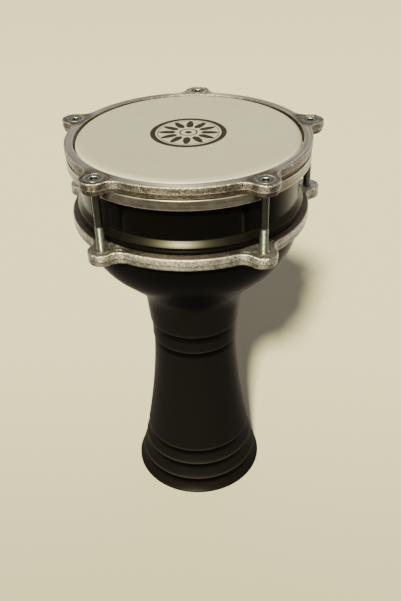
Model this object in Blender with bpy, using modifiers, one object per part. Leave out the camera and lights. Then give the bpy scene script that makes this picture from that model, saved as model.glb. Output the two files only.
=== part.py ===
"""A goblet drum (darbuka) with a plastic head, tuned by five screws between two cast rings.

Metres, +Z up. The origin is the centre of the foot's underside, on the drum's axis, and the fifth
ear points along +Y. Every turned piece is a profile swept round +Z.
"""

import math

import bmesh
import bpy
from mathutils import Matrix, Vector

MM = 0.001

# Driving dimensions, in millimetres.
EARS = 5
ROUND_STEPS = 40            # facets round every large turned piece
BOLT_STEPS = 16
GAP = 0.3                   # between pieces that touch on the real drum

DRUM_HEIGHT = 430.0         # top of the head
BOLT_CIRCLE_R = 125.0
BOLT_THREAD_R = 4.0         # M8
BOLT_SHANK_R = 3.65         # plain part, rolled blank diameter
BOLT_HEAD_R = 8.0
BOLT_HEAD_RIM = 0.6         # upright rim above the 90 degree cone
BOLT_SUNK = 0.2             # how far the heads lie under the hoop's top face
BOLT_THREAD_TOP = 382.0     # the thread runs from here down
BOLT_END = 349.4
SOCKET_FLATS = 6.0
SOCKET_DEPTH = 3.2

HOOP_TOP = 429.0
HOOP_HEIGHT = 12.0
HOOP_INNER_R = 110.9
HOOP_OUTER_R = 119.7
EAR_R = 13.8
EAR_FILLET_R = 14.0
CAST_EDGE = 0.9             # rounded edges of the two castings

RING_BOTTOM = 346.4
RING_HEIGHT = 13.2
RING_INNER_R = 111.4
RING_OUTER_R = 119.4

FILM = 0.5
HEAD_SKIRT_R = 109.1        # outside of the film's skirt
HEAD_EDGE_R = 6.5           # the film's bend over the bearing edge

CHANNEL_TOP = HOOP_TOP - HOOP_HEIGHT - GAP
CHANNEL_HEIGHT = 10.2
CHANNEL_OUTER_R = 118.9
CHANNEL_INNER_R = 109.9
CHANNEL_WALL = 1.3
CHANNEL_INNER_LIP = 4.5     # height of the channel's inner wall
FILM_TUCK_R = 114.3         # where the film goes down into the channel

# The goblet's outside, from the top down.
WALL = 4.2
CYLINDER_R = HEAD_SKIRT_R - FILM - GAP
CREST_Z = DRUM_HEIGHT - FILM - GAP
CREST_R = 102.4             # top of the rounded bearing edge
SHOULDER_TOP = 372.7
SHOULDER_BOTTOM = 366.5
SHOULDER_R = 113.0
GROOVE_DEPTH = 0.8
GROOVE_HEIGHT = 2.8
FLANGE_R = 113.2
FLANGE_BOTTOM = RING_BOTTOM + RING_HEIGHT + GAP + 0.1
BODY_TOP_R = 110.6
BODY_LOW_R = 109.6
BELLY_Z = 340.1             # where the wall starts to bend in
BELLY_ARC = 60.0
CONE_LENGTH = 37.6          # straight 45 degree stretch under the belly
COVE_ARC = 46.4
COVE_END_SLOPE = 7.0        # degrees from upright
STEP = 1.8                  # how far each turned lip stands out over the next band
LIP_EDGE = 0.5
NECK_LIP_1 = (217.4, 49.8)  # (height, radius) of each lip
NECK_LIP_2 = (194.8, 47.9)
WAIST_Z = 185.0
WAIST_R = 46.9
FOOT_LIP_1 = (57.6, 61.3)
FOOT_LIP_2 = (39.0, 65.1)
FOOT_LIP_3 = (18.6, 69.9)
FOOT_R = 75.6
FOOT_EDGE = 1.0
FOOT_RIM_INNER_R = 68.6
NECK_BEND = 1.6             # power of the curve from the waist to the first foot lip
SKIRT_BEND = 2.2            # power of the curve of each foot band

COLOURS = {
    "black_coat": ((0.018, 0.017, 0.016), 0.42, 0.0),
    "cast_aluminium": ((0.52, 0.50, 0.46), 0.38, 1.0),
    "drawn_aluminium": ((0.55, 0.54, 0.51), 0.34, 1.0),
    "white_film": ((0.66, 0.64, 0.57), 0.42, 0.0),
    "resin": ((0.62, 0.55, 0.40), 0.35, 0.0),
    "zinc_steel": ((0.50, 0.53, 0.50), 0.30, 1.0),
}


def clear_scene():
    for item in list(bpy.data.objects):
        bpy.data.objects.remove(item)


def new_collection(name):
    collection = bpy.data.collections.new(name)
    bpy.context.scene.collection.children.link(collection)
    return collection


def material(name):
    colour, roughness, metallic = COLOURS[name]
    made = bpy.data.materials.get(name)
    if made:
        return made
    made = bpy.data.materials.new(name)
    made.use_nodes = True
    shader = made.node_tree.nodes["Principled BSDF"]
    shader.inputs["Base Color"].default_value = (*colour, 1.0)
    shader.inputs["Roughness"].default_value = roughness
    shader.inputs["Metallic"].default_value = metallic
    return made


def arc(centre, radius, start, end, steps):
    """Points on a circle in the (radius, height) plane. Angles in degrees, 0 outward, 90 up."""
    points = []
    for i in range(steps + 1):
        angle = math.radians(start + (end - start) * i / steps)
        points.append((centre[0] + radius * math.cos(angle), centre[1] + radius * math.sin(angle)))
    return points


def band(top, bottom, bend, steps):
    """Points of a curve that leaves (height, radius) top almost upright and bends to bottom."""
    points = []
    for i in range(steps + 1):
        t = i / steps
        height = top[0] + (bottom[0] - top[0]) * t
        points.append((top[1] + (bottom[1] - top[1]) * t ** bend, height))
    return points


def turned(name, profile, finish, collection, steps=ROUND_STEPS):
    """A closed (radius, height) profile in millimetres, swept round +Z."""
    work = bmesh.new()
    corners = [work.verts.new((r * MM, 0.0, z * MM)) for r, z in profile]
    on_axis = profile[0][0] == 0.0 and profile[-1][0] == 0.0
    for a, b in zip(corners, corners[1:]):
        work.edges.new((a, b))
    if not on_axis:
        work.edges.new((corners[-1], corners[0]))
    mesh = bpy.data.meshes.new(name)
    work.to_mesh(mesh)
    work.free()
    piece = bpy.data.objects.new(name, mesh)
    collection.objects.link(piece)
    sweep = piece.modifiers.new("Turn", "SCREW")
    sweep.axis = "Z"
    sweep.steps = steps
    sweep.render_steps = steps
    sweep.use_merge_vertices = True
    sweep.merge_threshold = 0.00001
    mesh.materials.append(material(finish))
    return piece


def ear_outline(ring_r):
    """Outline of a ring with lobed ears, as arcs: lobe, fillet, ring, fillet, for each ear."""
    lobe = Vector((BOLT_CIRCLE_R, 0.0))
    reach = ring_r + EAR_FILLET_R
    turn = math.acos(
        (reach ** 2 + BOLT_CIRCLE_R ** 2 - (EAR_R + EAR_FILLET_R) ** 2) / (2 * reach * BOLT_CIRCLE_R)
    )
    centre = Vector((reach * math.cos(turn), reach * math.sin(turn)))
    to_lobe = lobe - centre
    lobe_angle = math.degrees(math.atan2(-to_lobe.y, -to_lobe.x))
    ring_angle = math.degrees(turn)
    sector = 360.0 / EARS
    half = arc(lobe, EAR_R, 0.0, lobe_angle, 7)
    half += arc(centre, EAR_FILLET_R, lobe_angle + 180.0, ring_angle + 180.0, 4)[1:]
    half += arc((0.0, 0.0), ring_r, ring_angle, sector / 2, 4)[1:]
    points = []
    for ear in range(EARS):
        turned_by = Matrix.Rotation(math.radians(90.0 + sector * ear), 2)
        lower = [Vector((x, -y)) for x, y in reversed(half[:-1])]
        upper = [Vector((x, y)) for x, y in half[1:]]
        points += [turned_by @ p for p in lower + upper]
    return points


def flat_ring(name, outline, inner_r, bottom, height, finish, collection):
    """A flat outline with a round hole, extruded upward and with rounded edges."""
    curve = bpy.data.curves.new(name, "CURVE")
    curve.dimensions = "2D"
    curve.fill_mode = "BOTH"
    curve.extrude = height / 2 * MM
    hole = []
    for step in range(ROUND_STEPS):
        angle = math.radians(360.0 * step / ROUND_STEPS)
        hole.append((inner_r * math.cos(angle), inner_r * math.sin(angle)))
    for loop in (outline, hole):
        spline = curve.splines.new("POLY")
        spline.points.add(len(loop) - 1)
        spline.use_cyclic_u = True
        for point, (x, y) in zip(spline.points, loop):
            point.co = (x * MM, y * MM, 0.0, 1.0)
    guide = bpy.data.objects.new(name + "_outline", curve)
    collection.objects.link(guide)
    bpy.context.view_layer.update()
    evaluated = guide.evaluated_get(bpy.context.evaluated_depsgraph_get())
    mesh = bpy.data.meshes.new_from_object(evaluated)
    bpy.data.objects.remove(guide)
    work = bmesh.new()
    work.from_mesh(mesh)
    bmesh.ops.remove_doubles(work, verts=work.verts, dist=0.00001)
    bmesh.ops.dissolve_limit(work, angle_limit=0.001, verts=work.verts, edges=work.edges)
    bmesh.ops.translate(work, verts=work.verts, vec=(0.0, 0.0, (bottom + height / 2) * MM))
    bmesh.ops.recalc_face_normals(work, faces=work.faces)
    work.to_mesh(mesh)
    work.free()
    mesh.materials.clear()
    mesh.materials.append(material(finish))
    piece = bpy.data.objects.new(name, mesh)
    collection.objects.link(piece)
    edge = piece.modifiers.new("Edges", "BEVEL")
    edge.width = CAST_EDGE * MM
    edge.segments = 1
    edge.limit_method = "ANGLE"
    edge.angle_limit = math.radians(50.0)
    return piece


def ear_place(ear):
    """Place of bolt hole number `ear`, in millimetres."""
    angle = math.radians(90.0 + 360.0 / EARS * ear)
    return BOLT_CIRCLE_R * math.cos(angle), BOLT_CIRCLE_R * math.sin(angle)


def drill(piece, ear, profile, cutters):
    """Cut a turned hole at one ear of a casting."""
    x, y = ear_place(ear)
    name = f"{piece.name}_hole_{ear + 1}"
    cutter = turned(name, profile, "cast_aluminium", cutters, steps=BOLT_STEPS)
    cutter.location = (x * MM, y * MM, 0.0)
    cutter.display_type = "WIRE"
    cutter.hide_render = True
    cut = piece.modifiers.new(name, "BOOLEAN")
    cut.operation = "DIFFERENCE"
    cut.object = cutter


def lip(height, radius):
    """The rounded lip at the foot of a turned band and the step in to the next one."""
    return [(radius, height + LIP_EDGE), (radius - STEP, height)]


def shell(collection):
    belly = (BODY_LOW_R - BELLY_ARC, BELLY_Z)
    cone_top = arc(belly, BELLY_ARC, -45.0, -45.0, 1)[0]
    cone_low = (
        cone_top[0] - CONE_LENGTH * math.cos(math.radians(45.0)),
        cone_top[1] - CONE_LENGTH * math.sin(math.radians(45.0)),
    )
    cove = (
        cone_low[0] + COVE_ARC * math.cos(math.radians(45.0)),
        cone_low[1] - COVE_ARC * math.sin(math.radians(45.0)),
    )
    edge_r = CYLINDER_R - CREST_R
    crest = (CREST_R, CREST_Z - edge_r)
    outside = arc(crest, edge_r, 90.0, 0.0, 3)
    outside += [
        (CYLINDER_R, SHOULDER_TOP),
        (SHOULDER_R, SHOULDER_BOTTOM),
        (SHOULDER_R - GROOVE_DEPTH, SHOULDER_BOTTOM - 0.4),
        (SHOULDER_R - GROOVE_DEPTH, SHOULDER_BOTTOM - GROOVE_HEIGHT),
        (FLANGE_R, SHOULDER_BOTTOM - GROOVE_HEIGHT - 0.3),
        (FLANGE_R, FLANGE_BOTTOM),
        (BODY_TOP_R, FLANGE_BOTTOM),
    ]
    outside += arc(belly, BELLY_ARC, 0.0, -45.0, 5)
    outside += arc(cove, COVE_ARC, 135.0, 180.0 - COVE_END_SLOPE, 5)
    outside += lip(*NECK_LIP_1)
    outside += lip(*NECK_LIP_2)
    outside += band((WAIST_Z, WAIST_R), FOOT_LIP_1, NECK_BEND, 6)[:-1]
    outside += lip(*FOOT_LIP_1)
    starts = (FOOT_LIP_1, FOOT_LIP_2, FOOT_LIP_3)
    ends = (FOOT_LIP_2, FOOT_LIP_3, (FOOT_EDGE, FOOT_R))
    for start, end in zip(starts, ends):
        top = (start[0], start[1] - STEP)
        outside += band(top, end, SKIRT_BEND, 3)[1:-1]
        if end is not ends[-1]:
            outside += lip(*end)
    outside += [(FOOT_R, FOOT_EDGE), (FOOT_R - FOOT_EDGE * 0.6, 0.0)]

    inside = [(FOOT_RIM_INNER_R, 0.0)]
    flare = band((WAIST_Z, WAIST_R - WALL), (FOOT_EDGE, FOOT_RIM_INNER_R), NECK_BEND, 6)
    inside += list(reversed(flare[:-1]))
    inside += list(reversed(arc(cove, COVE_ARC + WALL, 135.0, 180.0 - COVE_END_SLOPE, 3)))
    inside += list(reversed(arc(belly, BELLY_ARC - WALL, 0.0, -45.0, 4)))
    inside += [
        (BODY_LOW_R - WALL, SHOULDER_BOTTOM - 6.0),
        (CREST_R - 1.6, SHOULDER_TOP),
        (CREST_R - 1.6, CREST_Z - 1.6),
    ]
    return turned("shell", outside + inside, "black_coat", collection)


def head_film(collection):
    """The film: flat disc, bend, skirt, and the edge tucked into the channel."""
    bend = (HEAD_SKIRT_R - HEAD_EDGE_R, DRUM_HEIGHT - HEAD_EDGE_R)
    inner_edge = HEAD_EDGE_R - FILM
    tuck_top = CHANNEL_TOP - 1.2
    tuck_low = CHANNEL_TOP - CHANNEL_HEIGHT + CHANNEL_WALL + 2.0
    outside = [(0.0, DRUM_HEIGHT)] + arc(bend, HEAD_EDGE_R, 90.0, 0.0, 4)
    outside += [(HEAD_SKIRT_R, tuck_top + 0.4), (HEAD_SKIRT_R + 0.5, tuck_top)]
    outside += [(FILM_TUCK_R, tuck_top - 0.2), (FILM_TUCK_R + 0.3, tuck_top - 0.5)]
    outside += [(FILM_TUCK_R + 0.3, tuck_low)]
    inside = [(FILM_TUCK_R - 0.2, tuck_low), (FILM_TUCK_R - 0.2, tuck_top - 0.8)]
    inside += [(HEAD_SKIRT_R, tuck_top - 0.6), (HEAD_SKIRT_R - FILM, tuck_top)]
    inside += arc(bend, inner_edge, 0.0, 90.0, 4)
    return turned("head_film", outside + inside + [(0.0, DRUM_HEIGHT - FILM)], "white_film", collection)


def flesh_hoop(collection):
    """The channel that holds the film: open at the top, with a low inner wall."""
    bottom = CHANNEL_TOP - CHANNEL_HEIGHT
    profile = [
        (CHANNEL_OUTER_R - 0.9, CHANNEL_TOP),
        (CHANNEL_OUTER_R, CHANNEL_TOP - 0.9),
        (CHANNEL_OUTER_R, bottom + 0.5),
        (CHANNEL_OUTER_R - 0.5, bottom),
        (CHANNEL_INNER_R, bottom),
        (CHANNEL_INNER_R, bottom + CHANNEL_INNER_LIP),
        (CHANNEL_INNER_R + CHANNEL_WALL, bottom + CHANNEL_INNER_LIP),
        (CHANNEL_INNER_R + CHANNEL_WALL, bottom + CHANNEL_WALL),
        (CHANNEL_OUTER_R - CHANNEL_WALL, bottom + CHANNEL_WALL),
        (CHANNEL_OUTER_R - CHANNEL_WALL, CHANNEL_TOP),
    ]
    return turned("flesh_hoop", profile, "drawn_aluminium", collection)


def head_resin(collection):
    """The resin in the channel, with the slot that the film's edge stands in."""
    floor = CHANNEL_TOP - CHANNEL_HEIGHT + CHANNEL_WALL + GAP
    slot_floor = floor + 1.4
    outer = CHANNEL_OUTER_R - CHANNEL_WALL - GAP
    inner = CHANNEL_INNER_R + CHANNEL_WALL + GAP
    slot_out = FILM_TUCK_R + 0.3 + GAP
    slot_in = FILM_TUCK_R - 0.2 - GAP
    fill = floor + 5.0
    profile = [
        (outer, fill),
        (outer, floor),
        (inner, floor),
        (inner, fill),
        (slot_in, fill),
        (slot_in, slot_floor),
        (slot_out, slot_floor),
        (slot_out, fill),
    ]
    return turned("head_resin", profile, "resin", collection)


def top_hoop(collection, cutters):
    bottom = HOOP_TOP - HOOP_HEIGHT
    outline = ear_outline(HOOP_OUTER_R)
    piece = flat_ring(
        "top_hoop", outline, HOOP_INNER_R, bottom, HOOP_HEIGHT, "cast_aluminium", collection
    )
    mouth = BOLT_HEAD_R + 0.5
    hole = BOLT_THREAD_R + 0.5
    cone_top = HOOP_TOP - BOLT_SUNK - BOLT_HEAD_RIM
    profile = [
        (0.0, HOOP_TOP + 2.0),
        (mouth, HOOP_TOP + 2.0),
        (mouth, cone_top),
        (hole, cone_top - (mouth - hole)),
        (hole, bottom - 2.0),
        (0.0, bottom - 2.0),
    ]
    for ear in range(EARS):
        drill(piece, ear, profile, cutters)
    return piece


def lower_ring(collection, cutters):
    outline = ear_outline(RING_OUTER_R)
    piece = flat_ring(
        "lower_ring", outline, RING_INNER_R, RING_BOTTOM, RING_HEIGHT, "cast_aluminium", collection
    )
    hole = BOLT_THREAD_R + GAP
    top = RING_BOTTOM + RING_HEIGHT
    profile = [
        (0.0, top + 2.0),
        (hole, top + 2.0),
        (hole, RING_BOTTOM - 2.0),
        (0.0, RING_BOTTOM - 2.0),
    ]
    for ear in range(EARS):
        drill(piece, ear, profile, cutters)
    return piece


def hex_cutter(name, top, cutters):
    work = bmesh.new()
    corner = SOCKET_FLATS / 2 / math.cos(math.radians(30.0)) * MM
    bmesh.ops.create_cone(
        work, cap_ends=True, segments=6, radius1=corner, radius2=corner, depth=2 * SOCKET_DEPTH * MM
    )
    bmesh.ops.recalc_face_normals(work, faces=work.faces)
    mesh = bpy.data.meshes.new(name)
    work.to_mesh(mesh)
    work.free()
    cutter = bpy.data.objects.new(name, mesh)
    cutters.objects.link(cutter)
    cutter.location.z = top * MM
    cutter.display_type = "WIRE"
    cutter.hide_render = True
    return cutter


def tension_bolt(ear, collection, cutters):
    """A countersunk screw with a hex socket, plain shank and threaded end. Its origin is on its axis."""
    top = HOOP_TOP - BOLT_SUNK
    cone_top = top - BOLT_HEAD_RIM
    cone_low = cone_top - (BOLT_HEAD_R - BOLT_SHANK_R)
    name = f"tension_bolt_{ear + 1}"
    profile = [
        (0.0, top),
        (BOLT_HEAD_R - 0.2, top),
        (BOLT_HEAD_R, cone_top),
        (BOLT_SHANK_R, cone_low),
        (BOLT_SHANK_R, BOLT_THREAD_TOP + 0.4),
        (BOLT_THREAD_R, BOLT_THREAD_TOP),
        (BOLT_THREAD_R, BOLT_END + 1.0),
        (BOLT_THREAD_R - 1.0, BOLT_END),
        (0.0, BOLT_END),
    ]
    piece = turned(name, profile, "zinc_steel", collection, steps=BOLT_STEPS)
    x, y = ear_place(ear)
    piece.location = (x * MM, y * MM, 0.0)
    cutter = hex_cutter(name + "_socket", top, cutters)
    cutter.location.x = x * MM
    cutter.location.y = y * MM
    cut = piece.modifiers.new("Socket", "BOOLEAN")
    cut.operation = "DIFFERENCE"
    cut.object = cutter
    return piece


def main():
    clear_scene()
    drum = new_collection("darbuka")
    cutters = new_collection("cutters")
    shell(drum)
    head_film(drum)
    flesh_hoop(drum)
    head_resin(drum)
    top_hoop(drum, cutters)
    lower_ring(drum, cutters)
    for ear in range(EARS):
        tension_bolt(ear, drum, cutters)


main()
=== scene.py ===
"""The finished surfaces of a goblet drum (darbuka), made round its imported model.

Metres, +Z up. The foot stands on z = 0 round the Z axis, and the first ear points along +Y.
Sizes in the constants are millimetres. Every new piece is a surface worked out with numpy.
"""

import math

import bmesh
import bpy
import numpy as np
from bpy.props import FloatProperty, FloatVectorProperty, IntProperty, PointerProperty
from mathutils import Matrix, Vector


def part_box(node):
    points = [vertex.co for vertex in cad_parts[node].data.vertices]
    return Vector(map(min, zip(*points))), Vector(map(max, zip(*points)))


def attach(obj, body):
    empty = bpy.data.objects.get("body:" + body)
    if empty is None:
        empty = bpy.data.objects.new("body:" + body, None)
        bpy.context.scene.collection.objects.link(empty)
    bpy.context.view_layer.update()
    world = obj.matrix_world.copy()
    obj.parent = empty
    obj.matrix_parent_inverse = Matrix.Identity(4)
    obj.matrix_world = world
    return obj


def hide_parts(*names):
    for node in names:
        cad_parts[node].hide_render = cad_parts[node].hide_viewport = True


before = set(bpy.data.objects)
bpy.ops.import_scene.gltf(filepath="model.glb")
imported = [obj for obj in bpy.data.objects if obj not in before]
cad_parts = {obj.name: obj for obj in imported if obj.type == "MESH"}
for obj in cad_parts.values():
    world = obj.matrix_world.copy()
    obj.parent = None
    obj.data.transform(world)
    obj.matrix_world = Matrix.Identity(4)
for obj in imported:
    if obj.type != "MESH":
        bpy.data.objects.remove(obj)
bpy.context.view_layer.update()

bl_info = {
    "name": "Goblet drum",
    "version": (1, 0, 0),
    "blender": (4, 5, 0),
    "location": "3D View > Sidebar > Drum",
    "description": "Makes the finished pieces of a goblet drum round its packed model",
    "category": "Add Mesh",
}

MM = 0.001
EARS = 5
FIRST_EAR = math.radians(90.0)
SECTOR = 2.0 * math.pi / EARS
MERGE = 0.000002

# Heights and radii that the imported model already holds, in millimetres.
SHELL_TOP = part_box("shell")[1].z / MM
HEAD_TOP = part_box("head_film")[1].z / MM
HOOP_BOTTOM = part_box("top_hoop")[0].z / MM
HOOP_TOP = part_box("top_hoop")[1].z / MM
RING_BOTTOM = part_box("lower_ring")[0].z / MM
RING_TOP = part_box("lower_ring")[1].z / MM
CHANNEL_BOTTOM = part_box("flesh_hoop")[0].z / MM
CHANNEL_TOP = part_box("flesh_hoop")[1].z / MM
CHANNEL_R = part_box("flesh_hoop")[1].x / MM
SCREW_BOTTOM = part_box("tension_bolt_1")[0].z / MM
SCREW_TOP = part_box("tension_bolt_1")[1].z / MM
SCREW_CIRCLE_R = (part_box("tension_bolt_1")[0].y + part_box("tension_bolt_1")[1].y) / 2.0 / MM
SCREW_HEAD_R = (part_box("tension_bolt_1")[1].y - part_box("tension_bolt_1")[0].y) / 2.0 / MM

# The goblet, from the top down.
WALL = 4.2
CYLINDER_R = 108.6
CREST_R = 102.4
SHOULDER = (372.7, 366.5, 113.0)      # top, bottom, radius at the bottom
GROOVE = (0.8, 2.8)                   # depth, height
FLANGE_R = 113.2
BODY_TOP_R = 110.6
BELLY = (109.6, 340.1, 60.0)          # radius, height of its middle, radius of its arc
CONE_LENGTH = 37.6                    # straight 45 degree stretch under the belly
COVE_ARC = 46.4
COVE_END_SLOPE = 7.0                  # degrees from upright
NECK_LIPS = ((217.4, 49.8), (194.8, 47.9))
WAIST = (185.0, 46.9)
FOOT_LIPS = ((57.6, 61.3), (39.0, 65.1), (18.6, 69.9))
FOOT_END = (1.0, 75.6)
FOOT_RIM_INNER_R = 68.6
NECK_BEND = 1.6
SKIRT_BEND = 2.2

# The two castings.
HOOP_R = (110.9, 119.35)              # inner, outer
RING_R = (111.4, 119.1)
DRAFT = 1.5                           # how far the hoop's side falls in below its parting line
SPLIT = 0.8                           # where an ear's own patch ends, as a share of its fillet
EAR_REACH = (24.0, 9.0)               # how far round its screw an ear counts, and fades

# The screws and the head.
THREAD_TOP = 382.0
SHANK_TOP = 422.0
FILM_EDGE_R = 114.5                   # the film's edge in the channel
# Over the next band the film is painted lighter, as a painted highlight on its bend.
FILM_BEND_BAND = (106.2, 107.8)       # where the film turns over the bearing edge
ROSETTE_R = 37.0                      # the rosette's rings and petals are drawn for this radius

# How far the painted shade under a lip stays, how far it fades, and how far the painted highlight
# above a lip reaches.
LIP_DARK = 5.0
LIP_FADE = 4.0
LIP_RISE = 9.0
LIP_BAND = 3.2                        # reach in radius that counts as the lip's outside

# The stage. Rays other than the camera's find the floor dimmer: this in front, and this behind.
FLOOR_BOUNCE = (0.165, 0.155, 0.200)
FAR_BOUNCE = (0.95, 0.92, 1.00)
FLOOR_HALF = 6000.0
FLOOR_POINTS = 13
FLOOR_DROP = 0.2
SUN_ELEVATION = math.radians(45.0)
SUN_AZIMUTH = math.radians(8.3)
CAMERA_PLACE = (0.06155, -0.6562, 0.69024)
CAMERA_TURN = math.radians(4.74)
CAMERA_TILT = math.radians(90.0 - 34.78)
CAMERA_ROLL = math.radians(-1.60)


def length(name, description, value):
    return FloatProperty(
        name=name, description=description, default=value, min=0.0,
        subtype="DISTANCE", unit="LENGTH", precision=5,
    )


def paint(name, description, value):
    return FloatVectorProperty(
        name=name, description=description, default=value, size=3, min=0.0, max=1.0, subtype="COLOR"
    )


class DrumSizes(bpy.types.PropertyGroup):
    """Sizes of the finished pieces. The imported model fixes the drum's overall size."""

    facets: IntProperty(
        name="Facets", description="Facets round the turned pieces", default=176, min=48, max=512
    )
    step: length("Lip step", "How far each turned lip stands out over the next band", 1.8 * MM)
    lip_edge: length("Lip rounding", "Rounding of the turned lips of the foot and the neck", 0.9 * MM)
    film: length("Film", "Thickness of the head's film", 0.35 * MM)
    film_bend: length("Film bend", "Radius of the film's bend over the bearing edge", 6.5 * MM)
    skirt_radius: length("Skirt radius", "Outside radius of the head's skirt", 109.1 * MM)
    print_radius: length("Print radius", "Outside radius of the printed rosette", 37.0 * MM)
    ear_radius: length("Ear radius", "Radius of the castings' ears", 13.3 * MM)
    ear_fillet: length("Ear fillet", "Radius of the hollow between an ear and its ring", 14.0 * MM)
    cast_edge: length("Cast edge", "Rounding of the castings' edges", 1.9 * MM)
    cast_waves: length("Cast waves", "Height of the castings' slow unevenness", 0.13 * MM)
    cast_grain: length("Cast grain", "Height of the castings' sand grain", 0.02 * MM)
    parting_step: length("Parting step", "How far the lower half of a casting is set in", 0.25 * MM)
    pitch: length("Thread pitch", "Rise of the screws' thread in one turn", 1.25 * MM)
    thread_radius: length("Thread radius", "Radius over the screws' thread", 3.98 * MM)
    thread_depth: length("Thread depth", "Depth of the screws' thread", 0.68 * MM)
    shank_radius: length("Shank radius", "Radius of the screws' plain shank", 3.62 * MM)
    socket: length("Socket", "Width of the hex socket across its flats", 7.0 * MM)


class DrumColours(bpy.types.PropertyGroup):
    """Colours of the finishes and the stage."""

    coat: paint("Coat", "Satin black coat of the goblet", (0.0056, 0.0050, 0.0052))
    # Also the colour of the painted highlight just above each lip.
    coat_worn: paint("Worn coat", "Coat rubbed thin along the lips", (0.080, 0.074, 0.068))
    shoulder: paint("Shoulder", "Turned shoulder under its thin coat", (0.039, 0.036, 0.031))
    film: paint("Film", "Frosted film of the head", (0.435, 0.43, 0.385))
    ink: paint("Ink", "Ink of the printed rosette", (0.010, 0.006, 0.005))
    casting: paint("Casting", "Cast aluminium", (0.30, 0.285, 0.265))
    # Also the upper tone of the lower ring's sides, there as painted reflection.
    casting_bright: paint("Bright casting", "Aluminium rubbed bright", (0.78, 0.75, 0.69))
    # Also the lower tone of the hoop's sides and, dimmed, the castings' shade under the parting line: both
    # painted shade.
    casting_dark: paint("Dark casting", "Oxide in the castings' hollows", (0.115, 0.085, 0.072))
    channel: paint("Channel", "Rolled aluminium of the head's channel", (0.28, 0.265, 0.215))
    zinc: paint("Zinc", "Zinc plating of the screws", (0.17, 0.20, 0.18))
    resin: paint("Resin", "Resin that holds the film in its channel", (0.62, 0.55, 0.40))
    floor: paint("Floor", "Pale floor", (0.88, 0.86, 0.64))


# Surfaces


def arc(radius, height, size, start, end, count):
    """Profile rows on a circle of the given size round (radius, height): 0 degrees is outward, 90 is up."""
    angle = np.radians(np.linspace(start, end, count))
    return np.stack([radius + size * np.cos(angle), height + size * np.sin(angle), 0.0 * angle], axis=1)


def bent(top, bottom, bend, count):
    """Profile rows from (height, radius) top to bottom: the height falls evenly, and the radius
    changes with the covered share raised to the power `bend`."""
    share = np.linspace(0.0, 1.0, count)
    height = top[0] + (bottom[0] - top[0]) * share
    radius = top[1] + (bottom[1] - top[1]) * share ** bend
    return np.stack([radius, height, 0.0 * share], axis=1)


def rounded(rows, spacing, closed=True, steps=6):
    """A profile from rows of (radius, height, rounding), one by one or in arrays: each corner is
    replaced by the parabola that leaves both of its sides at the corner's rounding, and points
    are added so that no side is longer than `spacing`."""
    rows = np.concatenate([np.atleast_2d(row) for row in rows])
    corners = rows[:, :2]
    back = np.roll(corners, 1, axis=0) - corners
    ahead = np.roll(corners, -1, axis=0) - corners
    back_length = np.maximum(np.linalg.norm(back, axis=1), 1e-9)
    ahead_length = np.maximum(np.linalg.norm(ahead, axis=1), 1e-9)
    cut = np.minimum(rows[:, 2], 0.48 * np.minimum(back_length, ahead_length))
    start = corners + back * (cut / back_length)[:, None]
    end = corners + ahead * (cut / ahead_length)[:, None]
    t = np.linspace(0.0, 1.0, steps + 1)[None, :, None]
    curve = (1 - t) ** 2 * start[:, None] + 2 * t * (1 - t) * corners[:, None] + t ** 2 * end[:, None]
    curve = curve.reshape(-1, 2)
    if closed:
        curve = np.concatenate([curve, curve[:1]])
    run = np.concatenate([[0.0], np.cumsum(np.linalg.norm(np.diff(curve, axis=0), axis=1))])
    places = np.concatenate([run, np.linspace(0.0, run[-1], int(run[-1] / spacing) + 2)])
    places = np.unique(np.round(places, 5))
    even = np.stack([np.interp(places, run, curve[:, 0]), np.interp(places, run, curve[:, 1])], axis=1)
    gaps = np.linalg.norm(np.diff(even, axis=0), axis=1)
    even = even[np.concatenate([[True], gaps > 0.02])]
    return even[:-1] if closed else even


def swept(profile, facets):
    """A grid of points (r cos a, r sin a, z): one row for each profile point, one column for each turn a."""
    turn = np.linspace(0.0, 2.0 * math.pi, facets, endpoint=False)[None, :]
    radius = profile[:, :1]
    height = np.broadcast_to(profile[:, 1:], (len(profile), facets))
    return np.stack([radius * np.cos(turn), radius * np.sin(turn), height], axis=2)


def quads(rows, columns, round_rows, round_columns):
    """Four corner numbers for each cell of a grid whose points are numbered row by row."""
    row, column = np.meshgrid(
        np.arange(rows if round_rows else rows - 1),
        np.arange(columns if round_columns else columns - 1),
        indexing="ij",
    )
    below = (row + 1) % rows
    beside = (column + 1) % columns
    here, under = row * columns, below * columns
    cells = [here + column, under + column, under + beside, here + beside]
    return np.stack(cells, axis=2).reshape(-1, 4)


def closed_mesh(name, grids):
    """One closed mesh, in metres, from grids in millimetres: (points, rows meet, columns meet) each.
    Points that fall together are merged, which also closes seams and poles."""
    points = []
    faces = []
    first = 0
    for grid, round_rows, round_columns in grids:
        rows, columns = grid.shape[:2]
        points.append(grid.reshape(-1, 3) * MM)
        faces.append(quads(rows, columns, round_rows, round_columns) + first)
        first += rows * columns
    mesh = bpy.data.meshes.new(name)
    mesh.from_pydata(np.concatenate(points).tolist(), [], np.concatenate(faces).tolist())
    work = bmesh.new()
    work.from_mesh(mesh)
    bmesh.ops.remove_doubles(work, verts=work.verts, dist=MERGE)
    bmesh.ops.recalc_face_normals(work, faces=work.faces)
    work.to_mesh(mesh)
    work.free()
    mesh.shade_smooth()
    return mesh


def vertex_values(mesh, what):
    """Every vertex's place or normal as an (n, 3) array."""
    values = np.empty(len(mesh.vertices) * 3, np.float32)
    source = mesh.vertices if what == "co" else mesh.vertex_normals
    source.foreach_get(what if what == "co" else "vector", values)
    return values.reshape(-1, 3).astype(float)


def set_attribute(mesh, name, values):
    attribute = mesh.attributes.new(name, "FLOAT", "POINT")
    attribute.data.foreach_set("value", np.asarray(values, np.float32))


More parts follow.
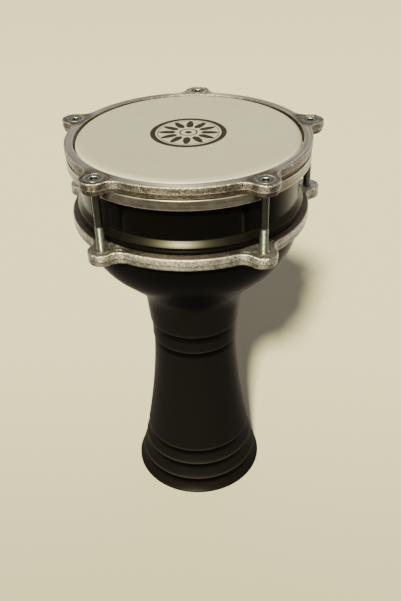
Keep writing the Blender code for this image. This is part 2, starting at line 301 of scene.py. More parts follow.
def waves(points, size, seed, count=28):
    """Smooth unevenness of unit strength at points in metres: a sum of cosines, each along a random
    direction and with a length near `size` metres."""
    draw = np.random.default_rng(seed)
    direction = draw.normal(size=(count, 3))
    direction /= np.linalg.norm(direction, axis=1, keepdims=True)
    direction *= (2.0 * math.pi / size * draw.uniform(0.6, 1.5, count))[:, None]
    start = draw.uniform(0.0, 2.0 * math.pi, count)
    return np.cos(points @ direction.T + start).sum(axis=1) * math.sqrt(2.0 / count)


def move(mesh, places):
    mesh.vertices.foreach_set("co", places.astype(np.float32).ravel())
    mesh.update()


def push(mesh, amount):
    """Moves each vertex along its normal by its amount in metres."""
    move(mesh, vertex_values(mesh, "co") + vertex_values(mesh, "normal") * amount[:, None])


def mark_edges(mesh, passes=2):
    """Stores attribute `edge`: how sharply the surface bends out (positive) or in at each vertex, in
    1/mm. It is the mean, over the vertex's edges, of the change of normal along the edge divided by
    the edge's length, evened out over the neighbours `passes` times."""
    places = vertex_values(mesh, "co")
    normals = vertex_values(mesh, "normal")
    ends = np.empty(len(mesh.edges) * 2, np.int32)
    mesh.edges.foreach_get("vertices", ends)
    a, b = ends.reshape(-1, 2).T
    along = places[b] - places[a]
    bend = ((normals[b] - normals[a]) * along).sum(axis=1) / np.maximum((along ** 2).sum(axis=1), 1e-14) * MM
    size = len(places)
    count = np.maximum(np.bincount(ends, minlength=size), 1)
    value = (np.bincount(a, bend, size) + np.bincount(b, bend, size)) / count
    for _ in range(passes):
        near = (np.bincount(a, value[b], size) + np.bincount(b, value[a], size)) / count
        value = 0.5 * value + 0.5 * near
    set_attribute(mesh, "edge", value)


def shown(name, data):
    """A new object that holds the data, in the scene."""
    item = bpy.data.objects.new(name, data)
    bpy.context.scene.collection.objects.link(item)
    return item


def place(mesh, finish, slot, body, *nodes):
    """Makes a mesh a piece: its finish, the body that it rides on and the nodes that it replaces."""
    mesh.materials.append(finish)
    piece = shown(mesh.name, mesh)
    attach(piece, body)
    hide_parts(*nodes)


# Finishes


class Finish:
    """A node material that is built up node by node."""

    def __init__(self, name):
        self.material = bpy.data.materials.new(name)
        self.material.use_nodes = True
        self.tree = self.material.node_tree
        self.shader = self.tree.nodes["Principled BSDF"]
        self.place = self.add("TexCoord").outputs["Object"]

    def add(self, kind, inputs=None, **settings):
        """A new node. `inputs` maps a socket's name or number to a value or to another socket."""
        node = self.tree.nodes.new("ShaderNode" + kind)
        for name, value in settings.items():
            setattr(node, name, value)
        for name, value in (inputs or {}).items():
            self.feed(node, name, value)
        return node

    def feed(self, node, name, value):
        if isinstance(value, bpy.types.NodeSocket):
            self.tree.links.new(value, node.inputs[name])
        else:
            node.inputs[name].default_value = value

    def set(self, **values):
        """Shader sockets by name, with _ for a space."""
        for name, value in values.items():
            self.feed(self.shader, name.replace("_", " "), value)

    def math(self, operation, a, b=0.0):
        return self.add("Math", {0: a, 1: b}, operation=operation).outputs[0]

    def times(self, a, b):
        return self.math("MULTIPLY", a, b)

    def plus(self, a, b):
        return self.math("ADD", a, b)

    def noise(self, scale, detail=3.0, roughness=0.55, at=None):
        settings = {"Vector": at or self.place, "Scale": scale, "Detail": detail, "Roughness": roughness}
        return self.add("TexNoise", settings).outputs[0]

    def span(self, value, low, high, new_low=0.0, new_high=1.0, kind="SMOOTHSTEP"):
        """The value's range low to high, moved to new_low to new_high and held there outside it."""
        ranges = {"Value": value, "From Min": low, "From Max": high, "To Min": new_low, "To Max": new_high}
        return self.add("MapRange", ranges, interpolation_type=kind).outputs[0]

    def band(self, value, start, low, high, end):
        """1 where the value is from low to high, falling to 0 at start and at end."""
        return self.times(self.span(value, start, low), self.span(value, end, high))

    def blend(self, share, a, b, way="MIX"):
        """Colour a, and colour b by its share."""
        node = self.add("Mix", data_type="RGBA", blend_type=way)
        self.feed(node, 0, share)
        self.feed(node, 6, (*a, 1.0) if isinstance(a, tuple) else a)
        self.feed(node, 7, (*b, 1.0) if isinstance(b, tuple) else b)
        return node.outputs[2]

    def bump(self, height, distance, strength=1.0, normal=None):
        inputs = {"Height": height, "Distance": distance, "Strength": strength}
        if normal:
            inputs["Normal"] = normal
        return self.add("Bump", inputs).outputs[0]

    def attribute(self, name):
        return self.add("Attribute", attribute_name=name).outputs["Fac"]

    def polar(self):
        """Distance from the Z axis, angle round it and height, from the place on the piece."""
        parts = self.add("SeparateXYZ", {0: self.place}).outputs
        squares = self.plus(self.math("POWER", parts[0], 2.0), self.math("POWER", parts[1], 2.0))
        return self.math("SQRT", squares), self.math("ARCTAN2", parts[1], parts[0]), parts[2]

    def lathe_marks(self, around, across, detail=2.0):
        """Noise drawn out round the Z axis, as a turning tool leaves it: `around` and `across` are
        how many changes it has in a radian round the piece and in a metre across the marks."""
        radius, angle, height = self.polar()
        run = self.plus(self.times(radius, 0.6 * across), self.times(height, across))
        x = self.times(self.math("COSINE", angle), around)
        y = self.times(self.math("SINE", angle), around)
        vector = self.add("CombineXYZ", {0: x, 1: y, 2: run}).outputs[0]
        return self.noise(1.0, detail, 0.6, vector)


def colours():
    """The colours as plain tuples by name."""
    group = bpy.context.scene.drum_colours
    return {name: tuple(getattr(group, name)) for name in DrumColours.__annotations__}


def dimmed(colour, share):
    return tuple(share * part for part in colour)


def millimetres():
    """The sizes by name, lengths in millimetres."""
    group = bpy.context.scene.drum_sizes
    values = {name: getattr(group, name) / MM for name in DrumSizes.__annotations__ if name != "facets"}
    values["facets"] = group.facets
    return values


def black_coat():
    """Satin black coat: fine peel over faint turning marks, smoother on the head's cylinder, and thin or
    rubbed through to the metal on the turned shoulder and along the lips. Painted shade makes it deeper
    black on the bowl and above it (fading in from 290 to 330 mm) and under each lip, and a painted
    highlight makes it lighter just above a lip."""
    shade = colours()
    finish = Finish("black_coat")
    cloud = finish.noise(16.0, 4.0)
    _, _, height = finish.polar()
    low, high = SHOULDER[1] * MM, SHOULDER[0] * MM
    shoulder = finish.band(height, low - 0.0002, low + 0.0004, high - 0.0008, high)
    handled = finish.band(height, 0.010, 0.015, 0.350, 0.352)
    rubbed = finish.times(finish.span(finish.attribute("edge"), 0.10, 0.60), handled)
    patchy = finish.times(rubbed, finish.span(finish.noise(70.0, 3.0), 0.35, 0.65, 0.45, 1.0))
    marks = finish.lathe_marks(1.2, 420.0)
    peel = finish.noise(1100.0, 2.0)
    rough = finish.plus(finish.span(cloud, 0.3, 0.7, 0.34, 0.40), finish.times(patchy, -0.05))
    rough = finish.plus(rough, finish.times(shoulder, -0.05))
    rough = finish.plus(rough, finish.span(height, high, high + 0.0006, 0.0, -0.14))
    normal = finish.bump(marks, 0.00006, 0.35)
    normal = finish.bump(peel, 0.00003, 0.5, normal)
    # Colour of the painted shade under the lips.
    dark = dimmed(shade["coat"], 0.05)
    lip = finish.attribute("lip")
    # Painted shade: from 290 to 330 mm up, the coat is darkened to 0.42 of its colour.
    bowl = finish.span(height, 0.29, 0.33)
    colour = finish.blend(bowl, shade["coat"], dimmed(shade["coat"], 0.42))
    # Painted shade: the coat goes nearly black under each lip.
    colour = finish.blend(finish.span(lip, 0.0, -1.0, kind="LINEAR"), colour, dark)
    # Painted highlight: just above each lip, the coat goes up to 0.14 of the way to the worn colour.
    colour = finish.blend(finish.span(lip, 0.35, 1.0, 0.0, 0.14, "LINEAR"), colour, shade["coat_worn"])
    colour = finish.blend(patchy, colour, shade["coat_worn"])
    colour = finish.blend(shoulder, colour, shade["shoulder"])
    finish.set(Base_Color=colour, Roughness=rough, Normal=normal, Specular_IOR_Level=0.10)
    finish.set(Metallic=finish.math("MAXIMUM", shoulder, finish.times(patchy, 0.5)))
    return finish.material


def frosted_film():
    """Frosted film with a printed rosette: two rings round twelve petals."""
    shade = colours()
    finish = Finish("frosted_film")
    radius, angle, _ = finish.polar()
    unit = finish.times(radius, ROSETTE_R / bpy.context.scene.drum_sizes.print_radius)
    soft = 0.16

    def ring(low, high):
        inside = finish.span(unit, low - soft, low + soft)
        outside = finish.span(unit, high - soft, high + soft, 1.0, 0.0)
        return finish.times(inside, outside)

    swing = finish.math("ABSOLUTE", finish.math("COSINE", finish.times(angle, 6.0)))
    tip = finish.plus(finish.times(swing, 17.5), 11.5)
    petals = finish.span(finish.math("SUBTRACT", tip, unit), -soft, soft)
    heart = finish.plus(finish.times(swing, -4.0), 16.0)
    petals = finish.times(petals, finish.span(finish.math("SUBTRACT", unit, heart), -soft, soft))
    ink = finish.math("MAXIMUM", ring(31.8, ROSETTE_R), ring(29.2, 30.0))
    ink = finish.math("MAXIMUM", ink, petals)
    ink = finish.math("MAXIMUM", ink, finish.math("MAXIMUM", ring(7.4, 9.0), ring(-1.0, 3.4)))
    ink = finish.times(ink, finish.span(finish.noise(420.0, 3.0), 0.2, 0.42, 0.86, 1.0))
    smudge = finish.noise(22.0, 4.0)
    frost = finish.noise(2600.0, 2.0)
    smudged = finish.span(smudge, 0.4, 0.75, 0.0, 0.35)
    paper = finish.blend(smudged, shade["film"], dimmed(shade["film"], 0.9))
    paper = finish.blend(finish.span(frost, 0.4, 0.7, 0.0, 0.15), paper, (0.9, 0.88, 0.8), "SOFT_LIGHT")
    bend_highlight = finish.span(radius, *(edge * MM for edge in FILM_BEND_BAND))
    rough = finish.plus(finish.span(smudge, 0.35, 0.7, 0.40, 0.52), finish.times(bend_highlight, -0.12))
    rough = finish.plus(rough, finish.times(ink, 0.35))
    # Painted highlight: the film is lighter over its bend.
    paper = finish.blend(bend_highlight, paper, (0.68, 0.66, 0.56))
    normal = finish.bump(frost, 0.00002, 0.25)
    finish.set(Base_Color=finish.blend(ink, paper, shade["ink"]), Roughness=rough, Normal=normal)
    return finish.material


def cast_metal(name, low, high):
    """Cast aluminium: its grained sides run between the colours named `low` and `high`, and it has a
    turned face where attribute `turned` is 1, painted shade where its shade attribute is 1, rubbed
    bright edges and dark hollows."""
    shade = colours()
    tones = (shade[low], shade[high])
    finish = Finish(name)
    edge = finish.attribute("edge")
    turned = finish.attribute("turned")
    sanded = finish.math("SUBTRACT", 1.0, turned)
    stains = finish.noise(60.0, 3.0)
    patches = finish.noise(430.0, 3.0, 0.72)
    grain = finish.noise(850.0, 3.0, 0.75)
    pits = finish.add("TexVoronoi", {"Vector": finish.place, "Scale": 620.0}).outputs[0]
    marks = finish.lathe_marks(1.5, 1500.0)
    speckle = finish.plus(finish.times(patches, 0.6), finish.times(grain, 0.4))
    share = finish.plus(speckle, finish.span(stains, 0.35, 0.7, -0.05, 0.05))
    tone = finish.blend(finish.span(share, 0.40, 0.58), *tones)
    face = tuple(0.5 * (a + b) for a, b in zip(shade["casting"], shade["casting_bright"]))
    tone = finish.blend(finish.times(turned, 0.85), tone, face)
    tone = finish.blend(finish.span(edge, -0.05, -0.5), tone, shade["casting_dark"])
    rubbed = finish.times(finish.span(edge, 0.06, 0.36), finish.span(patches, 0.35, 0.6, 0.3, 1.0))
    sparkle = finish.times(finish.span(grain, 0.60, 0.70), finish.times(sanded, 0.75))
    tone = finish.blend(finish.math("MAXIMUM", rubbed, sparkle), tone, shade["casting_bright"])
    streak = finish.times(turned, finish.span(marks, 0.52, 0.68, 0.0, 0.7))
    tone = finish.blend(streak, tone, shade["casting_bright"])
    furrow = finish.times(turned, finish.span(marks, 0.46, 0.32, 0.0, 0.8))
    tone = finish.blend(furrow, tone, shade["casting_dark"])
    rough = finish.plus(finish.span(grain, 0.3, 0.7, 0.34, 0.50), finish.times(turned, 0.02))
    relief = finish.plus(finish.times(grain, 0.7), finish.times(pits, 0.4))
    relief = finish.plus(relief, finish.times(patches, 1.6))
    normal = finish.bump(finish.times(marks, turned), 0.00012, 0.6)
    normal = finish.bump(finish.times(relief, sanded), 0.0005, 0.8, normal)
    parts = finish.add("SeparateXYZ", {0: finish.place}).outputs
    circling = finish.add("CombineXYZ", {0: finish.times(parts[1], -1.0), 1: parts[0]}).outputs[0]
    # Painted shade: darkened toward the dimmed hollow colour where the shade attribute says.
    cast_shade_share = finish.times(finish.attribute("grime"), 0.85)
    tone = finish.blend(cast_shade_share, tone, dimmed(shade["casting_dark"], 0.7))
    finish.set(Base_Color=tone, Roughness=rough, Normal=normal, Tangent=circling)
    finish.set(Metallic=1.0, Anisotropic=0.8, Anisotropic_Rotation=0.25)
    return finish.material


def rolled_metal():
    """Rolled aluminium of the channel: fine marks along it, dull spots, a little resin smear."""
    shade = colours()
    finish = Finish("rolled_aluminium")
    rubbed = finish.span(finish.attribute("edge"), 0.10, 0.40)
    marks = finish.lathe_marks(2.5, 1800.0)
    spots = finish.noise(150.0, 4.0)
    dull = dimmed(shade["channel"], 0.75)
    tone = finish.blend(finish.span(spots, 0.4, 0.68), dull, shade["channel"])
    tone = finish.blend(finish.span(marks, 0.45, 0.7, 0.0, 0.4), tone, shade["casting_bright"])
    tone = finish.blend(rubbed, tone, shade["casting_bright"])
    rough = finish.span(spots, 0.3, 0.7, 0.30, 0.44)
    finish.set(Base_Color=tone, Roughness=rough, Normal=finish.bump(marks, 0.00008, 0.4), Metallic=1.0)
    return finish.material


def zinc_plating():
    """Clear-passivated zinc: a faint green cast, brighter on crests and dark in the thread's roots, with
    the plain shank darkened as a painted reflection.
    """
    shade = colours()
    finish = Finish("zinc_plating")
    edge = finish.attribute("edge")
    cloud = finish.noise(240.0, 4.0)
    marks = finish.lathe_marks(3.0, 2400.0)
    tint = finish.blend(finish.span(cloud, 0.35, 0.7), shade["zinc"], dimmed(shade["zinc"], 0.62))
    _, _, height = finish.polar()
    head = finish.span(height, (SCREW_TOP - 0.9) * MM, (SCREW_TOP - 0.4) * MM, 0.0, 0.8)
    tint = finish.blend(head, tint, (0.07, 0.088, 0.080))
    tint = finish.blend(finish.span(edge, 0.20, 0.7, 0.0, 0.8), tint, (0.66, 0.70, 0.66))
    tint = finish.blend(finish.span(edge, -0.1, -0.6, 0.0, 0.85), tint, (0.05, 0.055, 0.045))
    # Painted reflection: the plain shank is darkened to stand in for the dark things it mirrors.
    low, high = THREAD_TOP * MM, SHANK_TOP * MM
    shank = finish.band(height, low + 0.0002, low + 0.0008, high - 0.0005, high + 0.0005)
    tint = finish.blend(finish.times(shank, 0.62), tint, (0.05, 0.045, 0.038))
    rough = finish.span(cloud, 0.3, 0.7, 0.28, 0.40)
    finish.set(Base_Color=tint, Roughness=rough, Normal=finish.bump(marks, 0.00004, 0.4), Metallic=1.0)
    return finish.material


def set_resin():
    """Hard, slightly clear resin with small bubbles."""
    shade = colours()
    finish = Finish("set_resin")
    bubbles = finish.add("TexVoronoi", {"Vector": finish.place, "Scale": 700.0}).outputs[0]
    cloud = finish.noise(160.0, 3.0)
    clouded = finish.span(cloud, 0.35, 0.7, 0.0, 0.6)
    tone = finish.blend(clouded, shade["resin"], dimmed(shade["resin"], 0.6))
    finish.set(Base_Color=tone, Normal=finish.bump(bubbles, 0.0001, 0.4), Subsurface_Weight=0.15)
    finish.set(Roughness=finish.span(cloud, 0.3, 0.7, 0.28, 0.4))
    return finish.material


# Pieces


def lip_rows(height, radius, size):
    """Rows of a turned lip: its rounded edge, and the step in to the band under it."""
    return [(radius, height, size["lip_edge"]), (radius - size["step"], height - 0.5, 0.5)]


def goblet_profile(size):
    """The goblet's closed section, outer side first and from the top down."""
    belly_r = BELLY[0] - BELLY[2]
    down = math.cos(math.radians(45.0))
    cone_low = (belly_r + (BELLY[2] - CONE_LENGTH) * down, BELLY[1] - (BELLY[2] + CONE_LENGTH) * down)
    cove = (cone_low[0] + COVE_ARC * down, cone_low[1] - COVE_ARC * down)
    edge_r = CYLINDER_R - CREST_R
    shoulder_top, shoulder_bottom, shoulder_r = SHOULDER
    groove_r = shoulder_r - GROOVE[0]
    flange_top = shoulder_bottom - GROOVE[1]
    flange_bottom = RING_TOP + 0.4
    rows = [
        arc(CREST_R, SHELL_TOP - edge_r, edge_r, 90.0, 0.0, 12),
        (CYLINDER_R, shoulder_top, 1.2),
        (shoulder_r, shoulder_bottom, 0.8),
        (groove_r, shoulder_bottom - 0.5, 0.3),
        (groove_r, flange_top, 0.3),
        (FLANGE_R, flange_top - 0.3, 0.7),
        (FLANGE_R, flange_bottom, 0.6),
        (BODY_TOP_R, flange_bottom, 0.6),
        arc(belly_r, BELLY[1], BELLY[2], 0.0, -45.0, 24),
        arc(*cove, COVE_ARC, 135.0, 180.0 - COVE_END_SLOPE, 24),
    ]
    for lip_z, lip_r in NECK_LIPS:
        rows += lip_rows(lip_z, lip_r, size)
    rows.append(bent(WAIST, FOOT_LIPS[0], NECK_BEND, 40)[:-1])
    starts = [(z, r - size["step"]) for z, r in FOOT_LIPS]
    for lip, start, end in zip(FOOT_LIPS, starts, FOOT_LIPS[1:] + (FOOT_END,)):
        rows += lip_rows(*lip, size)
        rows.append(bent(start, end, SKIRT_BEND, 16)[1:-1])
    rows += [
        (FOOT_END[1], FOOT_END[0], 0.8),
        (FOOT_END[1] - 0.6, 0.0, 0.5),
        (FOOT_RIM_INNER_R, 0.0, 0.6),
        bent((WAIST[0], WAIST[1] - WALL), (FOOT_END[0], FOOT_RIM_INNER_R), NECK_BEND, 30)[-2::-1],
        arc(*cove, COVE_ARC + WALL, 180.0 - COVE_END_SLOPE, 135.0, 16),
        arc(belly_r, BELLY[1], BELLY[2] - WALL, -45.0, 0.0, 16),
        (BELLY[0] - WALL, shoulder_bottom - 6.0, 4.0),
        (CREST_R - 1.6, shoulder_top, 4.0),
        (CREST_R - 1.6, SHELL_TOP - 1.6, 0.5),
    ]
    return rounded(rows, 3.8, steps=4)


def mark_lips(mesh):
    """Stores attribute `lip`: on the outside, -1 over LIP_DARK below each lip, back to 0 over
    LIP_FADE, and 1 at the lip falling to 0 over LIP_RISE above it, as the square of what is left.
    The -1 is painted shade under each lip, the 1 a painted highlight above it."""
    places = vertex_values(mesh, "co") / MM
    distance = np.hypot(places[:, 0], places[:, 1])
    value = np.zeros(len(places))
    for height, radius in NECK_LIPS + FOOT_LIPS:
        below = height - 0.35 - places[:, 2]
        outside = np.abs(distance - radius) < LIP_BAND
        dark = np.clip((LIP_DARK + LIP_FADE - below) / LIP_FADE, 0.0, 1.0)
        light = np.clip(1.0 + below / LIP_RISE, 0.0, 1.0) ** 2
        value += np.where(outside, np.where(below > 0.0, -dark, light), 0.0)
    set_attribute(mesh, "lip", np.clip(value, -1.0, 1.0))


def film_profile(size):
    """Section of the head's film from its middle: flat, bend, skirt, the foot that the channel
    holds, and back up the inside."""
    skirt = size["skirt_radius"]
    bend = size["film_bend"]
    film = size["film"]
    tuck = CHANNEL_TOP - 1.2
    deep = CHANNEL_BOTTOM + 3.6
    rows = [
        (0.0, HEAD_TOP, 0.0),
        (60.0, HEAD_TOP, 0.0),
        arc(skirt - bend, HEAD_TOP - bend, bend, 90.0, 0.0, 16),
        (skirt, tuck + 0.4, 0.3),
        (FILM_EDGE_R - 0.1, tuck, 0.3),
        (FILM_EDGE_R, deep, 0.0),
        (FILM_EDGE_R - film, deep, 0.0),
        (FILM_EDGE_R - 0.3 - film, tuck - 0.4, 0.2),
        (skirt - film, tuck - 0.2, 0.3),
        arc(skirt - bend, HEAD_TOP - bend, bend - film, 0.0, 90.0, 12),
        (60.0, HEAD_TOP - film, 0.0),
        (0.0, HEAD_TOP - film, 0.0),
    ]
    return rounded(rows, 3.0, closed=False)


def channel_profile():
    """Section of the rolled channel: outer wall, floor, low inner wall."""
    wall = 1.3
    inner_r = 109.95
    lip = CHANNEL_BOTTOM + 4.5
    rows = [
        (CHANNEL_R - 1.25, CHANNEL_TOP, 0.2),
        (CHANNEL_R, CHANNEL_TOP - 0.1, 1.3),
        (CHANNEL_R, CHANNEL_BOTTOM + 0.9, 0.9),
        (CHANNEL_R - 0.9, CHANNEL_BOTTOM, 0.9),
        (inner_r, CHANNEL_BOTTOM, 0.5),
        (inner_r, lip, 0.4),
        (inner_r + wall, lip, 0.4),
        (inner_r + wall, CHANNEL_BOTTOM + wall, 0.5),
        (CHANNEL_R - wall, CHANNEL_BOTTOM + wall, 0.5),
        (CHANNEL_R - wall, CHANNEL_TOP - 0.3, 0.1),
    ]
    return rounded(rows, 0.9)


def resin_profile():
    """Section of the resin: a bead each side of the slot for the film's edge, joined under it."""
    floor = CHANNEL_BOTTOM + 1.6
    fill = floor + 5.0
    rows = [
        (CHANNEL_R - 1.6, fill, 0.5),
        (CHANNEL_R - 1.6, floor, 0.4),
        (111.6, floor, 0.4),
        (111.6, fill, 0.5),
        (113.8, fill - 0.5, 0.4),
        (113.8, floor + 1.4, 0.3),
        (114.9, floor + 1.4, 0.3),
        (114.9, fill - 0.5, 0.4),
    ]
    return rounded(rows, 0.9)


def ear_plan(ring_r, size):
    """The plan outline of a casting as a function of the run along it from the first ear's tip: the
    ear's arc round the screw, a hollow arc that touches it and the ring, the ring's arc, and the
    same mirrored. Returns the function, and the runs at which the three arcs of one half end."""
    ear_r = size["ear_radius"]
    fillet_r = size["ear_fillet"]
    reach = ring_r + fillet_r
    span = ear_r + fillet_r
    turn = math.acos((reach ** 2 + SCREW_CIRCLE_R ** 2 - span ** 2) / (2.0 * reach * SCREW_CIRCLE_R))
    hollow = (reach * math.cos(turn), reach * math.sin(turn))
    lobe_end = math.atan2(hollow[1], hollow[0] - SCREW_CIRCLE_R)
    ends = np.cumsum([ear_r * lobe_end, fillet_r * (lobe_end - turn), ring_r * (SECTOR / 2.0 - turn)])

    def outline(run, offset):
        run, offset = np.broadcast_arrays(run, offset)
        sector = np.floor((run + ends[2]) / (2.0 * ends[2]))
        local = run - sector * 2.0 * ends[2]
        side = np.where(local < 0.0, -1.0, 1.0)
        local = np.abs(local)
        which = (local > ends[0]).astype(int) + (local > ends[1])
        on_hollow = lobe_end + math.pi - (local - ends[0]) / fillet_r
        angle = np.choose(which, [local / ear_r, on_hollow, turn + (local - ends[1]) / ring_r])
        radius = np.choose(which, [ear_r + offset, fillet_r - offset, ring_r + offset])
        x = np.choose(which, [SCREW_CIRCLE_R, hollow[0], 0.0]) + radius * np.cos(angle)
        y = (np.choose(which, [0.0, hollow[1], 0.0]) + radius * np.sin(angle)) * side
        return spun(x, y, FIRST_EAR + sector * SECTOR)

    return outline, ends


def spun(x, y, angle):
    """Plan points turned round the Z axis."""
    cos, sin = np.cos(angle), np.sin(angle)
    return np.stack([x * cos - y * sin, x * sin + y * cos], axis=-1)


def ring_points(radius, angle):
    """Plan points at a radius and an angle from the first ear."""
    radius, angle = np.broadcast_arrays(radius, angle)
    return spun(radius, 0.0 * radius, FIRST_EAR + angle)


def at_height(plan, height):
    """Plan points with their heights."""
    height = np.broadcast_to(height, plan.shape[:-1])
    return np.concatenate([plan, height[..., None]], axis=-1)


def casting_grids(inner_r, outer_r, outer_rows, inner_rows, hole_rows, size):
    """A flat ring with drilled ears, as grids that meet edge to edge.

    The outer wall is its section (offset, height) carried along the ear outline, and the inner wall
    and the holes are their sections swept round. Each flat face between them is a fan from each hole
    to the edge of its ear's patch, and a straight blend from the inner wall to the outer between
    two ears."""
    outline, ends = ear_plan(outer_r, size)
    split = ends[0] + SPLIT * (ends[1] - ends[0])
    corner_x, corner_y = outline(np.array([split]), np.array([0.0]))[0]
    split_angle = math.atan2(corner_y, corner_x) - FIRST_EAR
    sector_run = 2.0 * ends[2]
    ear_cells, gap_cells, across_cells, bore_cells, fan_cells = 76, 68, 6, 30, 8
    ear_run = np.linspace(-split, split, ear_cells + 1)
    gap_run = np.linspace(split, sector_run - split, gap_cells + 1)
    ear_turn = np.linspace(-split_angle, split_angle, bore_cells + 1)
    gap_turn = np.linspace(split_angle, SECTOR - split_angle, gap_cells + 1)
    number = np.arange(EARS)[:, None]
    runs = (np.concatenate([ear_run[:-1], gap_run[:-1]]) + number * sector_run).ravel()
    turns = (np.concatenate([ear_turn[:-1], gap_turn[:-1]]) + number * SECTOR).ravel()
    grids = [
        (at_height(outline(runs[None, :], outer_rows[:, :1]), outer_rows[:, 1:]), False, True),
        (at_height(ring_points(inner_rows[:, :1], turns[None, :]), inner_rows[:, 1:]), False, True),
    ]
    across = np.linspace(0.0, 1.0, across_cells + 1)
    fan = np.linspace(0.0, 1.0, fan_cells + 1)[:, None, None]
    for ear in range(EARS):
        centre = ring_points(SCREW_CIRCLE_R, ear * SECTOR)
        walls = []
        for end in (0, -1):
            offset, height = outer_rows[end]
            bore = inner_rows[end, 0]
            outside = outline(ear_run + ear * sector_run, offset)
            inside = ring_points(bore, ear_turn + ear * SECTOR)
            gap_outside = outline(gap_run + ear * sector_run, offset)[None]
            gap_inside = ring_points(bore, gap_turn + ear * SECTOR)[None]
            strip = gap_inside + (gap_outside - gap_inside) * across[:, None, None]
            grids.append((at_height(strip, height), False, False))
            first_side = inside[0] + (outside[0] - inside[0]) * across[:-1, None]
            last_side = outside[-1] + (inside[-1] - outside[-1]) * across[:-1, None]
            loop = np.concatenate([outside[:-1], last_side, inside[:0:-1], first_side])
            toward = loop - centre
            direction = toward / np.linalg.norm(toward, axis=1, keepdims=True)
            rim = centre + direction * hole_rows[end, 0]
            grids.append((at_height(rim + (loop - rim) * fan, height), False, True))
            walls.append(direction)
        share = np.linspace(0.0, 1.0, len(hole_rows))[:, None, None]
        bearing = walls[0] * (1.0 - share) + walls[1] * share
        bearing /= np.linalg.norm(bearing, axis=2, keepdims=True)
        wall = centre + bearing * hole_rows[:, :1, None]
        grids.append((at_height(wall, hole_rows[:, 1:]), False, True))
    return grids


def ear_share(places):
    """1 within an ear, falling to 0 on the ring, at (n, 3) places in metres."""
    angle = FIRST_EAR + np.arange(EARS) * SECTOR
    axes = np.stack([np.cos(angle), np.sin(angle)], axis=1) * SCREW_CIRCLE_R * MM
    away = np.linalg.norm(places[:, None, :2] - axes[None], axis=2).min(axis=1) / MM
    return np.clip((EAR_REACH[0] - away) / EAR_REACH[1], 0.0, 1.0)


def finish_casting(mesh, bore_r, seed, faced, parting, size):
    """Uneven cast skin, strongest on the ears and weakest in the bore and on the top face where that is
    `faced` on a lathe (1, else 0), and the attributes that the finish reads. The shade attribute is
    painted shade: downward faces under the parting line, and a top face left as cast, between the ears."""
    places = vertex_values(mesh, "co")
    normals = vertex_values(mesh, "normal")
    ear = ear_share(places)
    flat = np.clip((normals[:, 2] - 0.8) / 0.18, 0.0, 1.0)
    distance = np.hypot(places[:, 0], places[:, 1]) / MM
    skin = np.clip((distance - bore_r - 0.3) / 1.5, 0.0, 1.0)
    turned = flat * (1.0 - ear) * faced
    slow = waves(places, 0.011, seed) * size["cast_waves"] * (0.45 + 0.75 * ear)
    middle = waves(places, 0.0045, seed + 1) * size["cast_waves"] * 0.35 * (0.6 + 0.6 * ear)
    grain = waves(places, 0.0019, seed + 2, 40) * size["cast_grain"]
    push(mesh, (slow + middle + grain) * skin * (1.0 - 0.85 * turned) * MM)
    mark_edges(mesh, 1)
    set_attribute(mesh, "turned", turned)
    # Painted shade: downward faces under the parting line, and a top face left as cast between the ears, are
    # marked to go darker.
    under = np.clip((parting + 0.4 - places[:, 2] / MM) / 1.6, 0.0, 1.0)
    under = under * np.clip(0.45 - 0.9 * normals[:, 2], 0.0, 1.0)
    set_attribute(mesh, "grime", np.maximum(under * skin, flat * (1.0 - ear) * (1.0 - faced)))


def casting(name, ring_r, ends, parting, edges, draft, hole, size):
    """A flat ring with drilled ears. `ends` are its bottom and top, `edges` its roundings outside at
    the top and at the bottom and in the bore at the bottom. Below the parting line its side is set
    in, and falls in further by the draft."""
    bottom, top = ends
    top_edge, low_edge, bore_edge = edges
    inset = top_edge + 0.25
    back = -size["parting_step"]
    outer = [
        (-inset, top, 0.0),
        (0.0, top, top_edge),
        (0.0, parting + 0.4, 0.35),
        (back, parting - 0.2, 0.3),
        (back - draft, bottom, low_edge),
        (back - draft - inset, bottom, 0.0),
    ]
    inner = [
        (ring_r[0] + 1.0, top, 0.0),
        (ring_r[0], top, 0.7),
        (ring_r[0], bottom, bore_edge),
        (ring_r[0] + 1.0, bottom, 0.0),
    ]
    profiles = [rounded(rows, 0.9, closed=False, steps=4) for rows in (outer, inner, hole)]
    return closed_mesh(name, casting_grids(*ring_r, *profiles, size))


def counter_hoop(size):
    """The top casting: turned face, grained side with its lower part set in, countersunk holes."""
    edge = size["cast_edge"]
    parting = HOOP_BOTTOM + 0.42 * (HOOP_TOP - HOOP_BOTTOM)
    mouth = SCREW_HEAD_R + 0.45
    cone_top = SCREW_TOP - 0.6
    drill = 4.5
    hole = [
        (mouth + 0.6, HOOP_TOP, 0.0),
        (mouth, HOOP_TOP - 0.05, 0.4),
        (mouth, cone_top, 0.1),
        (drill, cone_top - (mouth - drill), 0.3),
        (drill, HOOP_BOTTOM, 0.4),
        (drill + 0.7, HOOP_BOTTOM, 0.0),
    ]
    edges = (edge, edge * 0.7, 0.5)
    mesh = casting("counter_hoop", HOOP_R, (HOOP_BOTTOM, HOOP_TOP), parting, edges, DRAFT, hole, size)
    finish_casting(mesh, HOOP_R[0], 11, 1.0, parting, size)
    return mesh


